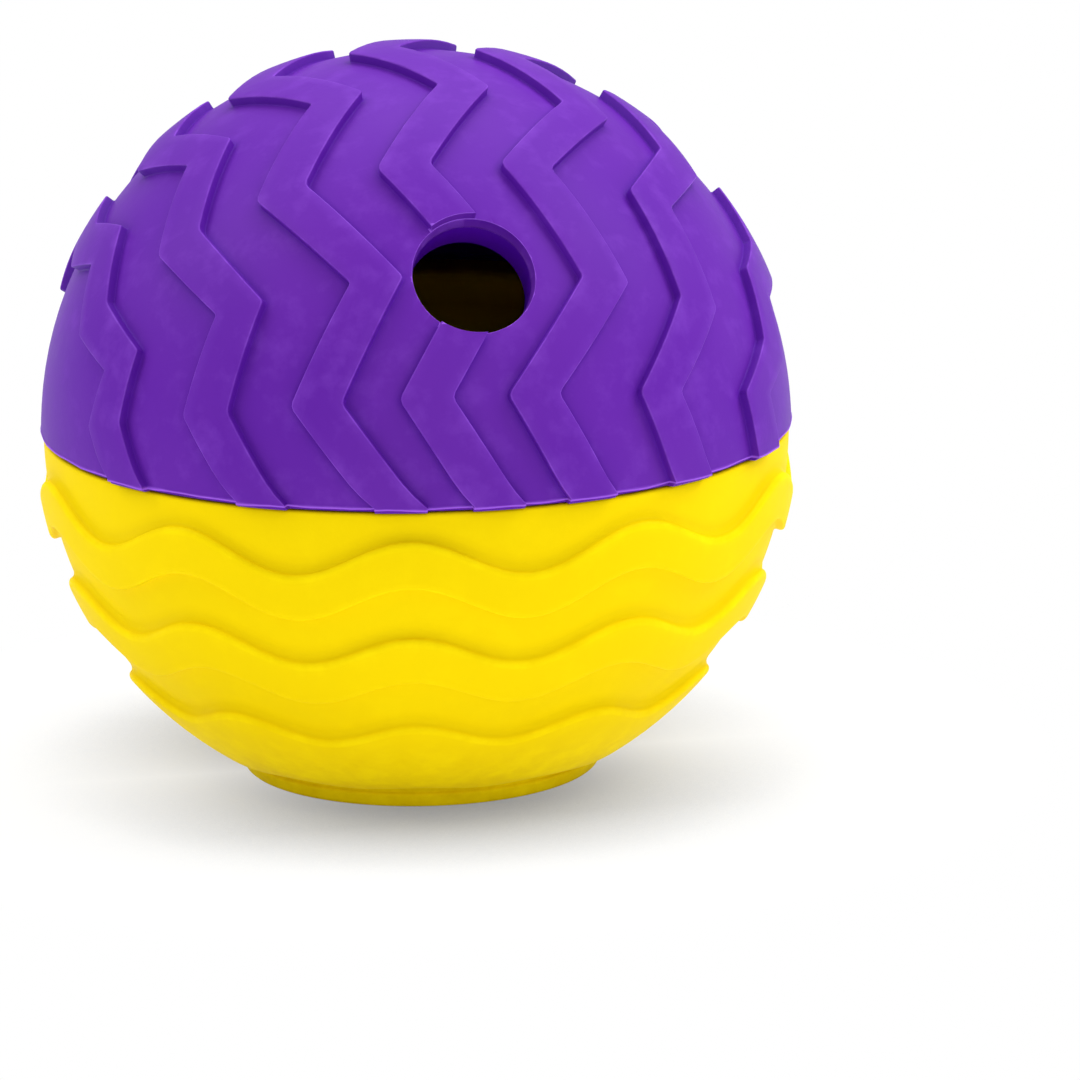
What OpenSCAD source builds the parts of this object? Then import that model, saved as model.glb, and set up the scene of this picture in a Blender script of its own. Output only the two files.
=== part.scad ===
// Treat dispensing ball: a hollow rubber ball in two halves that join with a
// bayonet collar. The upper half carries a zigzag tread and the treat hole, the
// lower half three wavy bands, a flat foot and the collar with its four lugs.
// The origin is the middle of the foot's flat face, and the ball's axis is Z.
// The treat hole faces -Y.

/* [Ball] */
// Radius of the smooth skin of the upper half
body_r = 47; // [44:0.5:50]
// Running gap between the two halves at the seam
seam_gap = 0.2; // [0.1:0.05:0.4]
// How far the upper half stands out over the lower half's skin
rim_step = 0.3; // [0:0.1:0.8]
// Wall of the upper half's dome under the tread
dome_wall = 5.5; // [5:0.25:7]

/* [Treat hole] */
// Diameter of the treat hole
hole_d = 14.4; // [8:0.2:16]
// How far the hole's mouth widens to each side at the skin
mouth_ease = 0.3; // [0.1:0.1:0.8]
// Height of the hole's axis above the seam plane, in degrees
hole_tilt = 35.3; // [33:0.1:39]
// Width of the raised ring round the hole's inner end
ring_w = 1.2; // [0.6:0.1:2]
// Height of that ring over the inside of the dome
ring_h = 0.5; // [0.3:0.1:0.8]

/* [Zigzag tread] */
// Height of the ribs above the skin
rib_h = 1.25; // [0.6:0.05:2]
// Width of a rib, in degrees of the ball
rib_angle = 7.6; // [5:0.1:9]
// Number of rows of zigzag legs from the front of the seam to the back
row_count = 10; // [8:2:12]
// Turn of the tread against the treat hole, in degrees
tread_turn = -3.6; // [-6:0.1:6]

/* [Wavy bands] */
// Height of the bands above the skin
wave_h = 1.3; // [0.6:0.05:2]
// Number of waves round the ball
wave_count = 10; // [6:1:14]
// Turn of the first wave crest against the treat hole, in degrees
wave_turn = -12.1; // [-18:0.1:18]

/* [Foot] */
// Radius of the flat face that the ball rests on
foot_r = 21.8; // [20:0.1:23]
// Radius of the foot's upper edge
foot_edge_r = 23.1; // [22:0.1:24]
// Height of the foot's sloping side
foot_h = 2.1; // [1.6:0.1:2.6]
// How much of the round underside the flat face cuts away
foot_cut = 3.2; // [2.8:0.1:4]

/* [Collar] */
// Width of the flat shoulder round the collar
shoulder_w = 11.7; // [11.5:0.1:13]
// Height of the collar above the shoulder
collar_h = 14; // [12:0.25:15]
// Wall of the collar round the mouth
collar_wall = 8.3; // [7:0.1:11]
// Slope that eases the collar's outer edge and the edge of the mouth
collar_ease = 0.8; // [0.4:0.1:1.2]
// Depth of the cylindrical part of the bowl below the shoulder
bowl_drop = 10; // [4:0.5:10]
// Clearance all round the collar
collar_gap = 0.6; // [0.3:0.1:0.9]

/* [Bayonet] */
// Number of lugs on the collar
lug_count = 4; // [2:1:4]
// Height of a lug, measured down from the collar's rim
lug_h = 8.4; // [6:0.1:9]
// Width of a lug along the collar
lug_w = 10.8; // [8:0.1:13]
// How far a lug's lower edge stands out from the collar
lug_reach = 4.7; // [3:0.1:5]
// How far a lug's upper edge stands out from the collar
lug_lead = 1.8; // [1:0.1:2.5]
// Clearance round each lug in its notch and groove
lug_gap = 0.4; // [0.3:0.05:0.6]
// Turn that locks the halves, in degrees
lock_turn = 46; // [30:1:55]

/* [Hidden] */
$fn = 128;

// One overrun serves every cut
cut = 0.5;
// How deep an added form is rooted under the skin
root = 2;
// How far the lip round the socket ends under the top of its groove
lip_drop = 0.8;
// Radius of the lower half's skin, and height of the seam over the flat face
lower_r = body_r - rim_step;
seam_h = lower_r - foot_cut;
// Radius of the hollow in the upper half
hollow_r = body_r - dome_wall;
// Outer radius of the collar, and radius of the mouth and of the bowl below it
collar_r = lower_r - shoulder_w;
bowl_r = collar_r - collar_wall;
// Radius of the upper half's bore round the collar
bore_r = collar_r + collar_gap;
// Radius of the groove that the lugs run in
groove_r = collar_r + lug_reach + lug_gap;
// Height over the seam at which the groove starts and ends
groove_low = collar_h - lug_h - lug_gap;
groove_high = collar_h + lug_gap;
// Height of the lip between the notches, a little under the groove's top
lip_h = groove_high - lip_drop;
// Angle that a lug and its notch take on the collar
lug_angle = 2 * asin(lug_w / (2 * (collar_r + lug_reach)));
notch_angle = lug_angle + 2 * asin(lug_gap / collar_r);

// Zigzag tread: places are given in degrees round the ball, from the middle rib outwards
rib_places = [0, 14.3, 33.7, 55];
// How much further out each rib lies at the crown than at the seam
rib_spreads = [0, 4.7, 4, 4.7];
// How far each rib swings to either side of its middle line
rib_swings = [5.6, 5.7, 4, 2.8];
// Share of the swing that is left at the seam
seam_swing_share = 0.8;
steps_per_leg = 3;
row_step = 180 / row_count;

// Wavy bands: mean height of each band's upper and lower edge below the seam, in degrees
band_tops = [6.9, 22.3, 39.7];
band_ends = [14.2, 30.2, 56];
// Rise of each band's upper and lower edge at a crest, in degrees
top_swings = [2.8, 2.5, 2.1];
end_swings = [2.8, 2.4, 1.2];
steps_per_wave = 12;
// The bands' edges are eased: shares of the band's height and of its width
ease_height_share = 0.5;
ease_width = 0.9 * wave_h;

// Direction of a point of the tread: across the ball's width, and along the row
function tread_ray(across, along) =
    [sin(across), -cos(across) * cos(along), cos(across) * sin(along)];

// Middle line of rib n at row k, which swings to alternate sides
function rib_side(k) = k % 2 == 0 ? 1 : -1;
function rib_share(k) = k == 0 || k == row_count ? seam_swing_share : 1;
function rib_middle(n, k) =
    sign(n) * (rib_places[abs(n)] + rib_spreads[abs(n)] * sin(k * row_step))
    + rib_side(k) * rib_share(k) * rib_swings[abs(n)];

// Direction of a rib's edge, on a great circle between its places in two rows
function rib_corner(n, side, k) = tread_ray(rib_middle(n, k) + side * rib_angle / 2, k * row_step);
function rib_ray(n, side, k) =
    let (
        low = floor(k),
        ray = rib_corner(n, side, low) * (low + 1 - k)
            + (k > low ? rib_corner(n, side, low + 1) * (k - low) : [0, 0, 0])
    )
    ray / norm(ray);

// Direction of a point of a wavy band, and its depth below the seam
function band_ray(around, below) =
    [sin(around) * cos(below), -cos(around) * cos(below), -sin(below)];
function band_edge(mean, swing, around) =
    mean - swing * cos(wave_count * (around - wave_turn));

// Faces of a ring of sections that closes on itself
function ring_faces(sections, points) = [
    for (i = [0:sections - 1], j = [0:points - 1])
        let (ni = (i + 1) % sections, nj = (j + 1) % points)
        [i * points + j, ni * points + j, ni * points + nj, i * points + nj]
];

// One zigzag rib: sections along its legs, from under the skin up to the rib's height
module rib(n) {
    inner = body_r - root;
    outer = body_r + rib_h;
    sections = row_count * steps_per_leg + 1;
    points = [
        for (s = [0:sections - 1])
            each [
                inner * rib_ray(n, -1, s / steps_per_leg),
                outer * rib_ray(n, -1, s / steps_per_leg),
                outer * rib_ray(n, 1, s / steps_per_leg),
                inner * rib_ray(n, 1, s / steps_per_leg)
            ]
    ];
    last = 4 * (sections - 1);
    sides = [
        for (s = [0:sections - 2], j = [0:3])
            let (a = 4 * s + j, b = 4 * s + (j + 1) % 4)
            [b, a, a + 4, b + 4]
    ];
    faces = concat(sides, [[0, 1, 2, 3], [last + 3, last + 2, last + 1, last]]);
    polyhedron(points = points, faces = faces);
}

// The zigzag tread over the whole upper half
module tread() {
    reach = len(rib_places) - 1;
    rotate([0, 0, tread_turn])
        for (n = [-reach:reach])
            rib(n);
}

// The space above the seam plane, as wide as the ball and its tread
module above_seam() {
    translate([0, 0, seam_gap])
        cylinder(r = body_r + rib_h + cut, h = body_r + rib_h + cut);
}

// The round hollow of the dome, over the lip that the collar passes
module dome_hollow() {
    intersection() {
        sphere(r = hollow_r);
        translate([0, 0, lip_h])
            cylinder(r = body_r, h = body_r);
    }
}

// Bore, entry notches and groove segments that take the collar and its lugs
module bayonet_socket() {
    translate([0, 0, -cut])
        cylinder(r = bore_r, h = groove_high + cut);
    for (i = [0:lug_count - 1])
        rotate([0, 0, i * 360 / lug_count - 90]) {
            rotate([0, 0, -notch_angle / 2])
                ring_piece(groove_r, -cut, groove_high, notch_angle);
            rotate([0, 0, -notch_angle / 2])
                ring_piece(groove_r, groove_low, groove_high, notch_angle + lock_turn);
        }
}

// Part of a ring from inside the bore out to a radius
module ring_piece(radius, low, high, angle) {
    rotate_extrude(angle = angle)
        translate([bore_r - root, low])
            square([radius - bore_r + root, high - low]);
}

// Raised ring round the inner end of the treat hole, along the hole's axis
module hole_ring() {
    start = sqrt(hollow_r * hollow_r - pow(hole_d / 2 + ring_w, 2)) - ring_h;
    translate([0, 0, start])
        cylinder(d = hole_d + 2 * ring_w, h = hollow_r + dome_wall / 2 - start);
}

// The treat hole: a bore whose mouth widens along rays from the ball's centre
module treat_hole() {
    reach = body_r + rib_h + cut;
    mouth_angle = asin((hole_d / 2 + mouth_ease) / body_r);
    cylinder(d = hole_d, h = reach);
    cylinder(r1 = 0, r2 = reach * tan(mouth_angle), h = reach);
}

// Upper half: domed shell with the zigzag tread, the treat hole and the socket
module upper_half() {
    color([0.42, 0.17, 0.68])
        translate([0, 0, seam_h])
            difference() {
                union() {
                    difference() {
                        intersection() {
                            union() {
                                sphere(r = body_r);
                                tread();
                            }
                            above_seam();
                        }
                        dome_hollow();
                    }
                    rotate([90 - hole_tilt, 0, 0])
                        hole_ring();
                }
                bayonet_socket();
                rotate([90 - hole_tilt, 0, 0])
                    treat_hole();
            }
}

// One wavy band, as a ring of eased sections
module band(i) {
    sections = wave_count * steps_per_wave;
    crown = lower_r + wave_h;
    eased = lower_r + wave_h * ease_height_share;
    ease = ease_width / lower_r * 180 / PI;
    points = [
        for (s = [0:sections - 1])
            let (
                around = wave_turn + s * 360 / sections,
                top = band_edge(band_tops[i], top_swings[i], around),
                end = band_edge(band_ends[i], end_swings[i], around),
                middle = (top + end) / 2
            )
            each [
                (lower_r - root) * band_ray(around, top),
                eased * band_ray(around, top),
                crown * band_ray(around, top + ease),
                crown * band_ray(around, middle),
                crown * band_ray(around, end - ease),
                eased * band_ray(around, end),
                (lower_r - root) * band_ray(around, end)
            ]
    ];
    polyhedron(points = points, faces = ring_faces(sections, 7));
}

// Foot: a low disc with a sloping side under the ball
module foot() {
    cylinder(r1 = foot_r, r2 = foot_edge_r, h = foot_h);
}

// One lug: a wedge that is thin at the collar's rim and full at its lower edge
module lug() {
    rotate([0, 0, -lug_angle / 2])
        rotate_extrude(angle = lug_angle)
            polygon([
                [collar_r - root, collar_h - lug_h],
                [collar_r + lug_reach, collar_h - lug_h],
                [collar_r + lug_lead, collar_h],
                [collar_r - root, collar_h]
            ]);
}

// Collar with its lugs, over the lower half's shoulder; its surface starts between two lugs
module collar() {
    rotate([0, 0, 180 / lug_count - 90])
        rotate_extrude()
            polygon([
                [0, -root],
                [collar_r, -root],
                [collar_r, collar_h - collar_ease],
                [collar_r - collar_ease, collar_h],
                [0, collar_h]
            ]);
    for (i = [0:lug_count - 1])
        rotate([0, 0, i * 360 / lug_count - 90])
            lug();
}

// Round-bottomed bowl for the treats, with the eased edge of its mouth
module bowl() {
    translate([0, 0, -bowl_drop])
        cylinder(r = bowl_r, h = bowl_drop + collar_h + cut);
    translate([0, 0, -bowl_drop])
        sphere(r = bowl_r);
    translate([0, 0, collar_h - collar_ease])
        cylinder(r1 = bowl_r, r2 = bowl_r + collar_ease + cut, h = collar_ease + cut);
}

// Lower half: solid-walled bowl with the wavy bands, the foot and the collar
module lower_half() {
    color([0.96, 0.86, 0.04])
        difference() {
            union() {
                translate([0, 0, seam_h]) {
                    intersection() {
                        sphere(r = lower_r);
                        translate([0, 0, -seam_h])
                            cylinder(r = body_r, h = seam_h);
                    }
                    for (i = [0:len(band_tops) - 1])
                        band(i);
                    collar();
                }
                foot();
            }
            translate([0, 0, seam_h])
                bowl();
        }
}

upper_half();
lower_half();
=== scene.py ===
# Treat dispensing ball: a purple dome with a zigzag tread over a yellow bowl with wavy bands.
import math

import bmesh
import bpy
from bpy.props import FloatProperty, FloatVectorProperty, IntProperty, PointerProperty
from mathutils import Matrix, Vector


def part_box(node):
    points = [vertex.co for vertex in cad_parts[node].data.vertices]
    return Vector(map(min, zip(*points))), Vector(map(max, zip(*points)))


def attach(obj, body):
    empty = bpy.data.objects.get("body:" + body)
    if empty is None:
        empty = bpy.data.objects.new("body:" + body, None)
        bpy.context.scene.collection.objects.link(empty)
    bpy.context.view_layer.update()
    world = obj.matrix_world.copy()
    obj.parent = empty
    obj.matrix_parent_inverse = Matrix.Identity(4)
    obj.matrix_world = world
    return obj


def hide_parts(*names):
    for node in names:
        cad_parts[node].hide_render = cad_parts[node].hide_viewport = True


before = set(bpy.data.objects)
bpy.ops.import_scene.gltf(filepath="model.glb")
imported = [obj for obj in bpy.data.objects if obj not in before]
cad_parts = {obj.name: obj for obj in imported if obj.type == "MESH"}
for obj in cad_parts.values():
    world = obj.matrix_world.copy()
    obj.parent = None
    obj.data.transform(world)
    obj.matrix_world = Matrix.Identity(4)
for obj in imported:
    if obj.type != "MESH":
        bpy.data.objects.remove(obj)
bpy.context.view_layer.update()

bl_info = {
    "name": "Treat dispensing ball",
    "version": (1, 0, 0),
    "blender": (4, 5, 0),
    "location": "View3D > Sidebar > Treat ball",
    "description": "Builds the dome, the bowl and the stage of a treat dispensing ball",
    "category": "Object",
}

MM = 0.001
DOME_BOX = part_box("upper_half")
BOWL_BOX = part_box("lower_half")
SEAM_GAP = 0.2 * MM
SEAM_HEIGHT = DOME_BOX[0].z - SEAM_GAP
COLLAR_TOP = BOWL_BOX[1].z

# Marks on the points, which the rubbers read: painted highlights on crests and painted light,
# painted shade in nooks, and the flash line's painted highlight
PAINTED_LIGHT = 1.0
PAINTED_SHADE = -1.0
FLASH_HIGHLIGHT = 2.0

# Zigzag tread: each rib's place at the seam, in degrees from the middle rib outwards
RIB_PLACES = (0, 14.3, 33.7, 55)
# How much further out each rib lies at the crown, and how far it swings to either side
RIB_SPREADS = (0, 4.7, 4)
RIB_SWINGS = (5.6, 5.7, 4)
# Share of a rib's swing that is left at the seam
SEAM_SWING_SHARE = 0.8
# The outermost ribs' own spreads and swings, row by row from the seam to the crown
OUTER_SPREADS = (1.0, 1.5, 2.6, 4.0, 3.7, 3.0)
OUTER_SWINGS = (1.0, 2.8, 3.3, 0.9, 4.2, 1.0)
# How far each row of corners lies off an even step at the middle rib, from seam to crown
ROW_LEANS = (0, -1.1, -0.9, 0.1, 0.7, 0)
# How much further off it lies at the outermost ribs
ROW_BENDS = (0, 0.4, -2.3, -2.4, -1.0, 0)
# Width of the strip of painted shade along the roots of the ribs
ROOT_SHADE = 0.9 * MM
# The lift that leaves the seam's gap fades out over this many times its own height
LIFT_FADE = 5
# How far the tread's widest place stays inside the CAD box
BOX_CLEARANCE = 0.03 * MM
# Columns of points between the ribs, on a rib, and from the outermost ribs to the poles
SKIN_STEPS, RIB_STEPS, POLE_STEPS = 4, 3, 10
# Rows of points along a leg of the zigzag, and how far its corners are pulled in
LEG_STEPS = 6
CORNER_PULL = 0.45

# The dome's edge: millimetres outwards, share of the rim's height, waver and mark of each ring
# The flash line's two rings carry a painted highlight, and the two rings under it painted shade
RIM_RINGS = ((0.1, 0.72, 1, FLASH_HIGHLIGHT), (0.06, 0.5, 1, FLASH_HIGHLIGHT),
             (-0.3, 0.42, 1, 0.5 * PAINTED_SHADE), (-0.5, 0, 0, 0.5 * PAINTED_SHADE))
# Ripples of the flash line: share of the rim's height, count round the dome and shift
RIM_RIPPLES = ((0.09, 23, 0), (0.07, 41, 1))

# Width of the dome's flat face outside the groove
EDGE_LAND = 1.5 * MM
# How far the tools of the socket run out under the dome
RUN_OUT = 1 * MM

# Profile of an eased edge of the treat hole: shares outwards and down
EASED_EDGE = ((0, 1), (0.13, 0.5), (0.5, 0.13), (1, 0))
# How much an eased edge falls on its way outwards
EASE_FALL = 0.15
# Easing of the hole's edge at the skin and at the ribs
SKIN_EASE = 0.09 * MM
RIB_EASE = 0.13 * MM
# Share of the dome's wall, from outside, that keeps the outer finish inside the hole; deeper in,
# the darker inside finish is both the inside's own colour and painted shade in the hole
OUTER_SHARE = 0.42

# Wavy bands, in degrees below the seam: mean upper and lower edges, and their rise at a crest
BAND_TOPS = (6.9, 22.3, 39.7)
BAND_ENDS = (14.2, 30.2, 57.4)
TOP_SWINGS = (2.8, 2.5, 2.1)
END_SWINGS = (2.8, 2.4, 0.5)
# How softly each band's lower edge runs out, against the lip's own rounding
LIP_SOFTNESS = (1, 1, 2)
# Strip of painted shade on the skin over a band: millimetres over the fillet, and mark
BAND_SHADE = ((1.2, 0.0), (0.4, 0.1 * PAINTED_SHADE))
# Where the skin starts over the foot, and from where to where the underside is painted lighter
FOOT_TOP = 59.2
LIGHT_FROM, LIGHT_TO = 40, 54
# The groove over the foot, in millimetres outwards and up from the foot's upper edge
FOOT_GROOVE = ((0.02, 0.13), (0.15, 0.4), (0.45, 0.7), (0.82, 1.02))
# Columns of points to a wave
WAVE_STEPS = 24

# Roundings of the bowl: brim, fillet under the collar, collar's rim, and edges of the lugs
BRIM = 0.4 * MM
COLLAR_FILLET = 0.8 * MM
COLLAR_EDGE = 0.9 * MM
LUG_EASE = 0.5 * MM
# Shares of the way into a lug's rounded edge at which its points stand, from just outside it
LUG_STEPS = (-0.12, 0, 0.25, 0.6, 1)
# Shares of a lug's reach that the rings on top of the collar keep, from outside in
CROWN_SHARES = (0.55, 0.2, 0, 0)

# The arrow's strokes: ends in degrees along the collar and millimetres up, and steps
ARROW_STROKES = (((0, 0), (19.5, 0), 12),
                 ((18, 1.1), (27, 0.3), 8),
                 ((25.854, -0.25), (20.5, -0.9), 8))
ARROW_WIDTH = 0.4 * MM
ARROW_PROUD = 0.22 * MM
ARROW_SUNK = 0.3 * MM

# The photograph's side in pixels, the ball's middle in it, and the camera's sensor in mm
PHOTO_SIZE = 1080
BALL_AT = (416.5, 424.5)
SENSOR = 36.0

# Lamps: size in metres, azimuth and elevation in degrees, distance in metres
LAMPS = {"back_lamp": (0.8, 175, 70, 1.0), "left_lamp": (0.6, -98, 44, 0.95),
         "right_lamp": (0.6, 94, 48, 0.95), "front_lamp": (0.6, 14, 34, 1.0)}

# Features to the metre of the rubbers' clouds, smudges, speckle and specks of dust
CLOUDS, SMUDGES, SPECKLE, SPECKS = 45, 260, 1900, 105
# Colour of the dust, and a speck's radius as a share of its cell
DUST = (0.8, 0.78, 0.82, 1.0)
SPECK_RADIUS = 0.012
WHITE = (1, 1, 1, 1)


def length(name, description, millimetres):
    """A length that a user can change, given in millimetres."""
    return FloatProperty(
        name=name, description=description, default=millimetres * MM, unit="LENGTH", precision=5
    )


def turn(name, description, degrees):
    """An angle that a user can change, given in degrees."""
    return FloatProperty(
        name=name, description=description, default=math.radians(degrees), subtype="ANGLE"
    )


def colour(name, description, value):
    """A colour that a user can change, as linear red, green and blue."""
    return FloatVectorProperty(
        name=name, description=description, default=value, size=3, subtype="COLOR", min=0, max=1
    )


def amount(name, description, value):
    """A plain number that a user can change."""
    return FloatProperty(name=name, description=description, default=value)


class BallSizes(bpy.types.PropertyGroup):
    """Sizes that the dome and the bowl share."""

    body_radius: length("Body radius", "Radius of the dome's smooth skin", 47)
    rim_step: length("Rim step", "How far the dome stands out over the bowl's skin", 0.3)
    seam_height: length("Seam height", "Height of the seam over the floor", SEAM_HEIGHT / MM)
    seam_gap: length("Seam gap", "Running gap between dome and bowl", SEAM_GAP / MM)


class DomeSizes(bpy.types.PropertyGroup):
    """Sizes of the dome, its tread, its hole and its socket."""

    rib_height: length("Rib height", "Height of the ribs over the skin", 1.25)
    rib_angle: turn("Rib width", "Width of a rib, as an angle of the ball", 7.6)
    rib_crest: length("Rib edge rounding", "Rounding along the top edges of the ribs", 0.22)
    rib_root: length("Rib root fillet", "Fillet where the ribs meet the skin", 0.2)
    rows: IntProperty(name="Rows", description="Zigzag legs from seam to seam", default=10)
    tread_turn: turn("Tread turn", "Turn of the tread against the treat hole", -3.6)
    blunt_corner: length("Blunt corners", "Easing of the corners that point left", 0.6)
    crisp_corner: length("Crisp corners", "Easing of the corners that point right", 0.35)
    rim_height: length("Rim height", "Height of the flash line over the dome's edge", 0.72)
    hole_radius: length("Hole radius", "Radius of the treat hole", 7.2)
    hole_tilt: turn("Hole tilt", "Height of the hole's axis over the seam plane", 35.3)
    mouth_ease: length("Mouth ease", "How far the hole widens at the skin", 0.3)
    ring_width: length("Ring width", "Raised ring round the hole's inner end", 1.2)
    ring_height: length("Ring height", "Height of that ring over the inside", 0.5)
    wall: length("Dome wall", "Wall of the dome under the tread", 5.5)
    bore_radius: length("Bore radius", "Radius of the bore round the collar", 35.6)
    groove_radius: length("Groove radius", "Outer radius of notches and grooves", 40.1)
    groove_low: length("Groove start", "Height of the groove over the seam", 5.2)
    groove_high: length("Groove end", "Height of the groove's top over the seam", 14.4)
    notch_angle: turn("Notch angle", "Angle that an entry notch takes", 16.94)
    lip_height: length("Lip height", "Height of the lip between the notches", 13.6)
    lock_turn: turn("Lock turn", "Turn that locks the dome on the bowl", 46)


class BowlSizes(bpy.types.PropertyGroup):
    """Sizes of the bowl, its bands, its foot and its collar."""

    wave_height: length("Band height", "Height of the bands over the skin", 1.27)
    wave_count: IntProperty(name="Waves", description="Waves round the ball", default=10)
    wave_turn: turn("Wave turn", "Turn of the first crest against the treat hole", -12.1)
    crest: length("Band upper rounding", "Rounding along a band's upper edge", 1.0)
    crest_root: length("Band upper fillet", "Fillet over a band's upper edge", 1.0)
    lip: length("Band lower rounding", "Rounding along a band's lower edge", 0.45)
    lip_root: length("Band lower fillet", "Fillet under a band's lower edge", 0.36)
    foot_radius: length("Foot radius", "Radius of the flat face below", 22.5)
    foot_edge: length("Foot edge radius", "Radius of the foot's upper edge", 23.0)
    foot_height: length("Foot height", "Height of the foot's sloping side", 2.0)
    collar_radius: length("Collar radius", "Outer radius of the collar", 35)
    mouth_radius: length("Mouth radius", "Radius of the mouth and the bowl", 26.7)
    bowl_drop: length("Bowl drop", "Depth of the bowl's straight wall", 10)
    lug_height: length("Lug height", "Height of a lug", 8.4)
    lug_width: length("Lug width", "Width of a lug along the collar", 10.8)
    lug_reach: length("Lug reach", "How far a lug's lower edge stands out", 4.7)
    lug_lead: length("Lug lead", "How far a lug's upper edge stands out", 1.8)
    lug_count: IntProperty(name="Lugs", description="Lugs on the collar", default=4)
    arrow_start: turn("Arrow start", "Where the arrow starts, from a lug's middle", 34)
    arrow_height: length("Arrow height", "Height of the arrow over the shoulder", 3.6)


class Finishes(bpy.types.PropertyGroup):
    """Colours of the two rubbers, with their painted light and shade, and the levels of the lamps.
    """

    purple: colour("Purple", "Colour of the dome's rubber", (0.126, 0.0195, 0.36))
    # Lighter purple for random smudges, and for the painted highlights on edges, flash line and
    # hole rim
    purple_smudge_and_highlight: colour("Light purple", "Worn and stressed edges", (0.32, 0.10, 0.72))
    purple_deep: colour("Deep purple", "Clouds in the dome's rubber", (0.085, 0.005, 0.32))
    # Painted shade at the roots of the ribs and under the dome's edge
    purple_painted_shade: colour("Purple nooks", "Roots of the ribs", (0.062, 0.0015, 0.27))
    # Darker inside colour, which in the treat hole also serves as painted shade
    purple_inside: colour("Purple inside", "Inside of the dome", (0.095, 0.002, 0.42))
    yellow: colour("Yellow", "Colour of the bowl's rubber", (0.875, 0.645, 0.0012))
    # Lighter yellow for random smudges, painted highlights on the band edges, and painted light on
    # the foot and underside
    yellow_smudge_and_painted_light: colour("Light yellow", "Crests of the bands", (1.0, 0.79, 0.003))
    yellow_deep: colour("Deep yellow", "Clouds in the bowl's rubber", (0.84, 0.60, 0.001))
    # Painted shade over the bands' upper edges and all over the bowl's inside
    yellow_painted_shade: colour("Yellow nooks", "Roots of the bands, bowl's inside", (0.50, 0.34, 0.0005))
    daylight: amount("Daylight", "Strength of the plain surroundings", 0.55)
    back_lamp: amount("Back lamp", "Power in watts", 5.4)
    left_lamp: amount("Left lamp", "Power in watts", 3.4)
    right_lamp: amount("Right lamp", "Power in watts", 5.3)
    front_lamp: amount("Front lamp", "Power in watts", 1.25)


class StageSizes(bpy.types.PropertyGroup):
    """Where the camera stands, and how large the floor is."""

    distance: length("Camera distance", "From the camera to the ball's centre", 940)
    focal_pixels: amount("Focal length", "In pixels of the photograph", 7490)
    elevation: turn("Elevation", "Height of the camera over the ball's equator", 13.14)
    azimuth: turn("Azimuth", "Turn of the treat hole to the camera's right", 10.93)
    roll: turn("Roll", "Lean of the ball in the picture", -0.97)
    floor_size: length("Floor size", "Side of the square floor", 6000)


class Shell:
    """Points, faces and edge marks of one closed mesh, gathered ring by ring."""

    def __init__(self):
        self.points = []
        self.marks = []
        self.faces = []

    def point(self, place, mark=0.0):
        """Adds one point and returns its number."""
        self.points.append(place)
        self.marks.append(mark)
        return len(self.points) - 1

    def ring(self, places, marks=None):
        """Adds a list of points and returns their numbers."""
        marks = marks or [0.0] * len(places)
        return [self.point(place, mark) for place, mark in zip(places, marks)]

    def bridge(self, low, high, closed=True):
        """Joins two rings, or two open rows, of as many points with faces."""
        steps = len(low) if closed else len(low) - 1
        for i in range(steps):
            j = (i + 1) % len(low)
            corners = [low[i], low[j], high[j], high[i]]
            self.faces.append(list(dict.fromkeys(corners)))

    def fan(self, ring, middle):
        """Closes a ring to one point."""
        for i, corner in enumerate(ring):
            self.faces.append([corner, ring[(i + 1) % len(ring)], middle])

    def make(self, name):
        """Makes the mesh object, with its normals outwards and its edge marks as an attribute."""
        mesh = bpy.data.meshes.new(name)
        mesh.from_pydata(self.points, [], self.faces)
        mark = mesh.attributes.new("edge", "FLOAT", "POINT")
        mark.data.foreach_set("value", self.marks)
        shape = bmesh.new()
        shape.from_mesh(mesh)
        bmesh.ops.recalc_face_normals(shape, faces=shape.faces)
        shape.to_mesh(mesh)
        shape.free()
        made = bpy.data.objects.new(name, mesh)
        bpy.context.scene.collection.objects.link(made)
        return made


def smooth(piece, crease=38):
    """Shades a piece smooth, apart from edges sharper than the crease in degrees."""
    piece.data.shade_smooth()
    piece.data.set_sharp_from_angle(angle=math.radians(crease))


def cut(piece, tool, operation="DIFFERENCE"):
    """Cuts a tool from a piece, or joins it to the piece, and removes the tool."""
    step = piece.modifiers.new("cut", "BOOLEAN")
    step.operation = operation
    step.solver = "EXACT"
    step.object = tool
    bpy.context.view_layer.update()
    done = piece.evaluated_get(bpy.context.evaluated_depsgraph_get())
    mesh = bpy.data.meshes.new_from_object(done)
    piece.modifiers.clear()
    old = piece.data
    piece.data = mesh
    bpy.data.meshes.remove(old)
    spare = tool.data
    bpy.data.objects.remove(tool)
    bpy.data.meshes.remove(spare)
    if not mesh.polygons:
        raise RuntimeError("A cut left nothing of " + piece.name)


def lathe(name, profile, segments, placed=None):
    """A closed turned form from a profile of (radius, height), placed by a matrix."""
    shell = Shell()
    matrix = placed or Matrix.Identity(4)
    rings = []
    for radius, height in profile:
        angles = [math.tau * i / segments for i in range(segments)]
        rings.append(shell.ring([
            matrix @ Vector((radius * math.cos(a), radius * math.sin(a), height)) for a in angles
        ]))
    for low, high in zip(rings, rings[1:]):
        shell.bridge(low, high)
    for ring, end in ((rings[0], profile[0][1]), (rings[-1], profile[-1][1])):
        shell.fan(ring, shell.point(matrix @ Vector((0, 0, end))))
    return shell.make(name)


def arc(centre, radius, start, end, steps):
    """Points of an arc in a profile, from one angle in degrees to another."""
    angles = [math.radians(start + (end - start) * i / steps) for i in range(steps + 1)]
    return [(centre[0] + radius * math.cos(a), centre[1] + radius * math.sin(a)) for a in angles]


def spread(start, end, count):
    """Values strictly between two ends, evenly spaced."""
    return [start + (end - start) * (i + 1) / (count + 1) for i in range(count)]


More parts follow.
